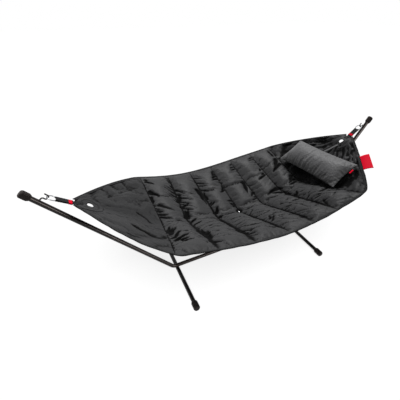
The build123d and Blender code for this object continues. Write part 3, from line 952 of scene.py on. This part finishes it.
# %% [markdown]
# ## Hems
#
# The long edges are bound with a folded tape. Its path is the edge of the surface with the corners eased,
# and its section is a flat roll. Small waves along it are the puckers that sewing leaves. Its outer edge
# turns under and its sewn edge sinks in, so both get painted shade.

# %% Hems
hem_width = 0.034
hem_tip_width = 0.026
hem_thickness = 0.006
hem_step = 0.008
hem_samples = 1200
corner_ease = 4
just_inside = 0.96
pucker = 0.0022
pucker_size, slow_size = 0.06, 0.19
around_hem = 14
roll_flatness = 0.55
roll_swing, slow_share = 0.3, 1.5
painted_edge_shade, outer_reach, sewn_reach = 0.5, 0.34, 0.16
ring_weld = 0.00005


def hem_frame(way):
    x = np.linspace(-tip_x, tip_x, hem_samples)
    line = np.stack([x, way * edge_y(x), edge_z(x, np.full_like(x, way))], -1)
    line += corner_pull(x, way * edge_y(x))
    walked = np.concatenate([[0], np.cumsum(np.linalg.norm(np.diff(line, axis=0), axis=1))])
    count = int(walked[-1] / hem_step)
    even = np.linspace(0, walked[-1], count + 1)
    path = np.stack([np.interp(even, walked, line[:, axis]) for axis in range(3)], -1)
    spread = 3 * corner_ease
    weight = np.exp(-0.5 * (np.arange(-spread, spread + 1) / corner_ease) ** 2)
    weight /= weight.sum()
    eased = np.stack([np.convolve(path[:, axis], weight, "valid") for axis in range(3)], -1)
    path[spread:-spread] = eased
    along = np.gradient(path, axis=0)
    along /= np.linalg.norm(along, axis=1, keepdims=True)
    normal = surface_normal(path[:, 0], path[:, 1] * just_inside)
    inward = np.cross(normal, along) * -way
    inward /= np.linalg.norm(inward, axis=1, keepdims=True)
    normal = np.cross(along, inward) * -way
    return path, inward, normal, walked[-1]


def hem_widths(x):
    share = toward_tip(x)
    return hem_width * (1 - share) + hem_tip_width * share


def hem(name, way, node):
    path, inward, normal, length = hem_frame(way)
    piece, turn, run = grid_piece(name, around_hem, len(path) - 1, 2 * hem_width, length)
    step = np.round((run + 1) / 2 * (len(path) - 1)).astype(int)
    angle = (turn + 1) * math.pi
    width = hem_widths(path[step, 0])
    across = width / 2 * (1 + squared_off(np.cos(angle), roll_flatness))
    wave = noise_along(path[:, 0], path[:, 1], pucker_size, 8.0)[step]
    slow = noise_along(path[:, 0], path[:, 1], slow_size, 2.0)[step]
    height = hem_thickness / 2 * np.sin(angle) * (1 + roll_swing * wave)
    lift = pucker * wave * (1 - across / width) + slow_share * pucker * slow
    points = path[step] + inward[step] * (across + pucker * (wave + slow))[:, None]
    place_points(piece, points + normal[step] * (height + lift)[:, None])
    # Painted shade along the outer edge and the sewn edge of the tape.
    painted_outer_shade = painted_edge_shade * bell(across / width, outer_reach)
    painted_sewn_shade = painted_edge_shade * bell(1 - across / width, sewn_reach)
    keep_painted_shade(piece, np.maximum(painted_outer_shade, painted_sewn_shade))
    weld(piece, ring_weld, close_ends=True)
    finish_piece(piece, hem_cloth, "sling", "hem_tape", node)
    return piece


front_hem = hem("front_hem_tape", -1, "front_hem")
rear_hem = hem("rear_hem_tape", 1, "rear_hem")
print("hem faces", [len(tape.data.polygons) for tape in (front_hem, rear_hem)])

# %% [markdown]
# ## Stitching
#
# Rows of thread hold the hems, patches and hole rims. One stitch is a tiny six-sided bar, and Array and
# Curve run it along a guide line, as a sewing machine does.

# %% Stitching
stitch_length = 0.0042
stitch_pitch = 0.0065
stitch_sides = 6
thread_radius = 0.0006
thread_lift = thread_radius * 0.4
drop_height = 0.08
hem_rows = (0.18, 0.84)
hem_row_height = 0.004
patch_rows = (0.03, 0.064, 0.1)
patch_row_points = 120
tip_clearance = 0.008


def stitch_row(name, line):
    bpy.ops.object.select_all(action="DESELECT")
    guide_curve = bpy.data.curves.new(name + "_guide", "CURVE")
    guide_curve.dimensions = "3D"
    spline = guide_curve.splines.new("POLY")
    spline.points.add(len(line) - 1)
    spline.points.foreach_set("co", np.hstack([line, np.ones((len(line), 1))]).ravel())
    guide = bpy.data.objects.new(name + "_guide", guide_curve)
    scene.collection.objects.link(guide)
    bpy.ops.mesh.primitive_cylinder_add(vertices=stitch_sides, radius=thread_radius, depth=stitch_length,
                                        rotation=(0, math.pi / 2, 0))
    row = bpy.context.object
    row.name = row.data.name = name
    bpy.ops.object.transform_apply(location=False, rotation=True, scale=False)
    apply_modifier(row, "ARRAY", fit_type="FIT_CURVE", curve=guide, use_relative_offset=False,
                   use_constant_offset=True, constant_offset_displace=(stitch_pitch, 0, 0))
    apply_modifier(row, "CURVE", object=guide, deform_axis="POS_X")
    bpy.data.objects.remove(guide)
    row.data.materials.append(sewing_thread)
    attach(row, "sling")
    return row


def resting_line(line, piece):
    settled = []
    for x, y, z in line:
        hit, place, normal, _ = piece.ray_cast(Vector((x, y, z + drop_height)), Vector((0, 0, -1)))
        settled.append(place + normal * thread_lift if hit else Vector((x, y, z)))
    return np.array([tuple(point) for point in settled])


stitching = []
for name, way, tape in (("front", -1, front_hem), ("rear", 1, rear_hem)):
    path, inward, normal, _ = hem_frame(way)
    width = hem_widths(path[:, 0])[:, None]
    for number, depth in enumerate(hem_rows, 1):
        line = path + inward * width * depth + normal * hem_row_height
        stitching.append(stitch_row(f"{name}_hem_stitches_{number}", resting_line(line[3:-3], tape)))
for end, side in ends.items():
    for number, radius in enumerate(patch_rows, 1):
        angle = np.linspace(0, 2 * math.pi, patch_row_points)
        x = ring_x(side, radius, angle)
        y = radius * np.sin(angle)
        inside = (np.abs(x) < tip_x - tip_clearance) & (np.abs(y) < edge_y(x) - hem_width)
        first = int(np.argmin(inside)) if not inside.all() else 0
        order = np.roll(np.arange(len(x)), -first)
        line = np.stack([x, y, bed_z(x, y)], -1)[order[inside[order]]]
        stitching.append(stitch_row(f"{end}_patch_stitches_{number}", resting_line(line, patches[end])))
print("stitch rows:", len(stitching))

# %% [markdown]
# ## Straps and keepers
#
# Webbing is sewn on each tip. It runs up to the ring, round its wire and back, and a tongue of it lies on
# the panel as far as the hole. A red band keeps its two layers together. The shares say how far along the
# webbing the tongue, the upper layer and the loop end.

# %% Straps and keepers
strap_across, strap_along = 10, 90
strap_thickness = 0.0022
strap_half = 0.025
strap_length = 0.36
tongue_share, upper_share, loop_share = 0.3, 0.55, 0.75
strap_lift, strap_drop = 0.0045, 0.003
ring_radius = 0.031
ring_wire_radius = 0.004
ring_ease = 0.0004
ring_fit = 0.88
tongue_end = 1.315
tongue_half = 0.017
tongue_inset = 0.001
keeper_around, keeper_along = 40, 8
keeper_length, keeper_round = 0.024, 0.13
keeper_setback = 0.018
keeper_half, keeper_thick = strap_half + 0.0016, 0.0056
keeper_squash = 0.25
keeper_ripple = 0.0005
keeper_cloth = 0.0012


def strap_line(end):
    side = ends[end]
    low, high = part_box(f"{end}_ring")
    ring = np.array([(low.x + high.x) / 2, (low.z + high.z) / 2])
    tip = np.array([side * tip_x, tip_height])
    pull = (tip - ring) / np.linalg.norm(tip - ring)
    up = np.array([-pull[1], pull[0]])
    up *= np.sign(up[1])
    return ring, tip, pull, up


def tongue_point(end, along, off_middle):
    side = ends[end]
    x = side * (tongue_end + (tip_x - tongue_end) * along)
    above = Vector((x - side * tongue_inset, off_middle, 2))
    hit, place, _, _ = panels[end].ray_cast(above, Vector((0, 0, -1)))
    z = place.z if hit else tip_height
    return np.array([x, max(z, float(bed_z(np.array([x]), np.array([0.0]))[0])) + strap_lift])


def webbing_strap(end):
    ring, tip, pull, up = strap_line(end)
    piece, wide, run = grid_piece(f"{end}_webbing", strap_across, strap_along, 2 * strap_half, strap_length)
    loop_radius = ring_wire_radius + strap_thickness / 2 + ring_ease
    points = []
    for w, s in zip(wide, (run + 1) / 2):
        half = strap_half
        wire = ring + pull * math.sqrt(ring_radius ** 2 - (ring_fit * half * w) ** 2)
        if s < tongue_share:
            along = s / tongue_share
            half = tongue_half + (strap_half - tongue_half) * along
            point = tongue_point(end, along, w * half)
        elif s < upper_share:
            along = (s - tongue_share) / (upper_share - tongue_share)
            point = (tip + up * strap_lift) * (1 - along) + (wire + up * loop_radius) * along
        elif s < loop_share:
            turn = (s - upper_share) / (loop_share - upper_share) * math.pi
            point = wire + up * loop_radius * math.cos(turn) - pull * loop_radius * math.sin(turn)
        else:
            along = (s - loop_share) / (1 - loop_share)
            point = (wire - up * loop_radius) * (1 - along) + (tip - up * strap_drop) * along
        points.append((point[0], w * half, point[1]))
    place_points(piece, points)
    apply_modifier(piece, "SMOOTH", factor=0.5, iterations=1)
    thicken(piece, strap_thickness)
    finish_piece(piece, webbing, "sling", "webbing", f"{end}_strap")
    return piece


def keeper_band(end):
    _, tip, pull, up = strap_line(end)
    piece, turn, run = grid_piece(f"{end}_keeper_band", keeper_around, keeper_along,
                                  keeper_round, keeper_length)
    angle = (turn + 1) * math.pi
    wide = keeper_half * squared_off(np.cos(angle), keeper_squash)
    thick = keeper_thick * squared_off(np.sin(angle), keeper_squash)
    ripple = keeper_ripple * np.sin(3 * angle + 1.3) * np.cos(2.5 * run)
    centre = tip - pull * keeper_setback - pull * run[:, None] * keeper_length / 2
    flat = centre + up * (thick + ripple)[:, None]
    place_points(piece, np.stack([flat[:, 0], wide, flat[:, 1]], -1))
    weld(piece, ring_weld)
    thicken(piece, keeper_cloth)
    finish_piece(piece, red_satin, "sling", "red_tag", f"{end}_keeper")
    return piece


straps = {end: webbing_strap(end) for end in ends}
keepers = {end: keeper_band(end) for end in ends}
print("straps and keepers:", [piece.name for piece in (*straps.values(), *keepers.values())])

# %% [markdown]
# ## Side label
#
# A plain red flag is sewn in the front hem, between the corner and the tip. It hangs out and curls a
# little.

# %% Side label
label_length = 0.205
label_reach = 0.09
label_thickness = 0.0016
label_sewn_in = 0.006
label_stretch = 0.98
label_rise, label_curl, label_twist = 0.1, 0.25, 0.05
label_x = (bed_half + tip_x) / 2
label_span = 6

label, along, out = grid_piece("side_label_flag", 24, 20, label_length, label_reach)
label_path, label_inward, label_normal, _ = hem_frame(-1)
label_step = int(np.argmin(np.abs(label_path[:, 0] - label_x)))
label_way = label_path[label_step + label_span] - label_path[label_step - label_span]
label_way /= np.linalg.norm(label_way)
label_out = -label_inward[label_step]
label_up = label_normal[label_step]
reach = (out + 1) / 2
droop = label_rise * reach - label_curl * reach ** 2 + label_twist * along * reach
label_points = label_path[label_step] - label_out * label_sewn_in
label_points = label_points + np.outer(along * label_length / 2, label_way)
label_points = label_points + np.outer((reach * label_stretch) * label_reach, label_out)
place_points(label, label_points + np.outer(droop * label_reach, label_up))
thicken(label, label_thickness)
finish_piece(label, red_satin, "sling", "red_tag", "side_label")
print("side label at x", round(label_x, 3))

# %% [markdown]
# ## Pillow
#
# The pillow is two layers that are sewn together along a rim, which stays crisp, with four pointed corners
# and long sides that draw in a little. The rim is pinned, and slack and pressure fill the layers, so that
# they gather at the corners. It is then set to its size and laid in its place.

# %% Pillow
pillow_length, pillow_width = 0.85, 0.33
pillow_crown, pillow_belly = 0.074, 0.062
pillow_waist, pillow_end_bow = 0.013, 0.016
pillow_rim_thickness = 0.004
pillow_start_crown = 0.035
pillow_jitter = 0.0008
pillow_cover = dict(quality=6, mass=0.1, air_damping=1.5, tension_stiffness=20, compression_stiffness=20,
                    shear_stiffness=8, bending_stiffness=0.6)
pillow_pressure = 2.4
pillow_slack = 0.018
pillow_steps = 24
pillow_centre = (0.905, -0.025, 0.863)
pillow_tilt = math.radians(30)
pillow_roll = math.radians(4)
pillow_turn = Matrix.Rotation(-pillow_roll, 4, "X") @ Matrix.Rotation(-pillow_tilt, 4, "Y")
pillow_place = Matrix.Translation(pillow_centre) @ pillow_turn

pillow, wide, along = grid_piece("pillow_cushion", 44, 104, pillow_width, pillow_length)
cut_x = wide * (pillow_width / 2 - pillow_waist * (1 - along ** 2))
cut_y = along * (pillow_length / 2 - pillow_end_bow * (1 - wide ** 2))
place_points(pillow, np.stack([cut_x, cut_y, np.zeros_like(wide)], -1))
thicken(pillow, pillow_rim_thickness)
points = read_points(pillow)
rim = np.tile(on_rim(wide, along), 2)
lens = np.tile(pillow_start_crown * (1 - wide ** 4) * (1 - along ** 6), 2)
rough = np.where(rim, 0, random_state.normal(0, pillow_jitter, len(points)))
points[:, 2] += np.sign(points[:, 2]) * lens + rough
place_points(pillow, points)
add_group(pillow, "rim", rim)
simulate(pillow, pillow_steps, **pillow_cover, use_pressure=True, uniform_pressure_force=pillow_pressure,
         shrink_min=-pillow_slack, vertex_group_mass="rim")
apply_modifier(pillow, "SUBSURF", levels=1, render_levels=1)
pillow.vertex_groups.clear()
points = read_points(pillow)
print("pillow came out", np.round(np.ptp(points, axis=0), 3))
points[:, 0] *= np.minimum(1, pillow_width / np.ptp(points[:, 0]))
points[:, 1] *= np.minimum(1, pillow_length / np.ptp(points[:, 1]))
upper_scale, lower_scale = pillow_crown / points[:, 2].max(), -pillow_belly / points[:, 2].min()
points[:, 2] *= np.where(points[:, 2] > 0, upper_scale, lower_scale)
place_points(pillow, points)
pillow.data.transform(pillow_place)
finish_piece(pillow, pillow_cloth, "pillow", "pillow_cloth", "pillow")

# %% [markdown]
# ## Pillow strap and tab
#
# A strip of webbing goes from the pillow's upper seam down through the hole of the right panel. A small red
# tab sits in the seam of the pillow's near end.

# %% Pillow strap and tab
tie_width, tie_thickness = 0.028, 0.002
tie_reach, tie_dip, tie_tail = 0.021, 0.007, 0.055
tie_ripple, tie_ripple_rate = 0.0008, 60
tie_start = (0.152, 0.025, 0)
tab_length, tab_shown, tab_thickness = 0.048, 0.014, 0.0014
tab_reach, tab_sewn_in = 0.018, 0.004
tab_offset = 0.07
tab_curl, tab_twist = 0.002, 0.001

hole_centre, hole_normal = hole_frame(1)
hole_middle = np.array([hole_centre[0], hole_centre[2]])
hole_up = np.array([hole_normal[0], hole_normal[2]])
hole_way = np.array([hole_up[1], -hole_up[0]])
seam_middle = pillow_place @ Vector(tie_start)
corners = [np.array([seam_middle.x, seam_middle.z]),
           hole_middle - hole_way * tie_reach + hole_up * tie_dip,
           hole_middle + hole_way * tie_reach - hole_up * tie_dip,
           hole_middle + hole_way * tie_tail - hole_up * tie_dip]
walk = np.concatenate([[0], np.cumsum([np.linalg.norm(b - a) for a, b in zip(corners, corners[1:])])])
tie, wide, run = grid_piece("pillow_tie", 6, 70, tie_width, walk[-1])
at = (run + 1) / 2 * walk[-1]
line = np.stack([np.interp(at, walk, [c[axis] for c in corners]) for axis in (0, 1)], -1)
ripple = tie_ripple * np.sin(tie_ripple_rate * at)
place_points(tie, np.stack([line[:, 0], wide * tie_width / 2, line[:, 1] + ripple], -1))
apply_modifier(tie, "SMOOTH", factor=0.5, iterations=6)
thicken(tie, tie_thickness)
finish_piece(tie, pillow_tape, "pillow", "webbing", "pillow_strap")

tab, along, out = grid_piece("pillow_tab", 10, 6, tab_length, tab_shown)
reach = (out + 1) / 2
tab_points = np.stack([tab_offset + along * tab_length / 2,
                       -pillow_length / 2 + tab_sewn_in - reach * tab_reach,
                       tab_curl * reach + tab_twist * along], -1)
place_points(tab, tab_points)
tab.data.transform(pillow_place)
thicken(tab, tab_thickness)
finish_piece(tab, red_satin, "pillow", "red_tag", "pillow_label")
print("pillow strap", round(float(walk[-1]), 3), "m long")
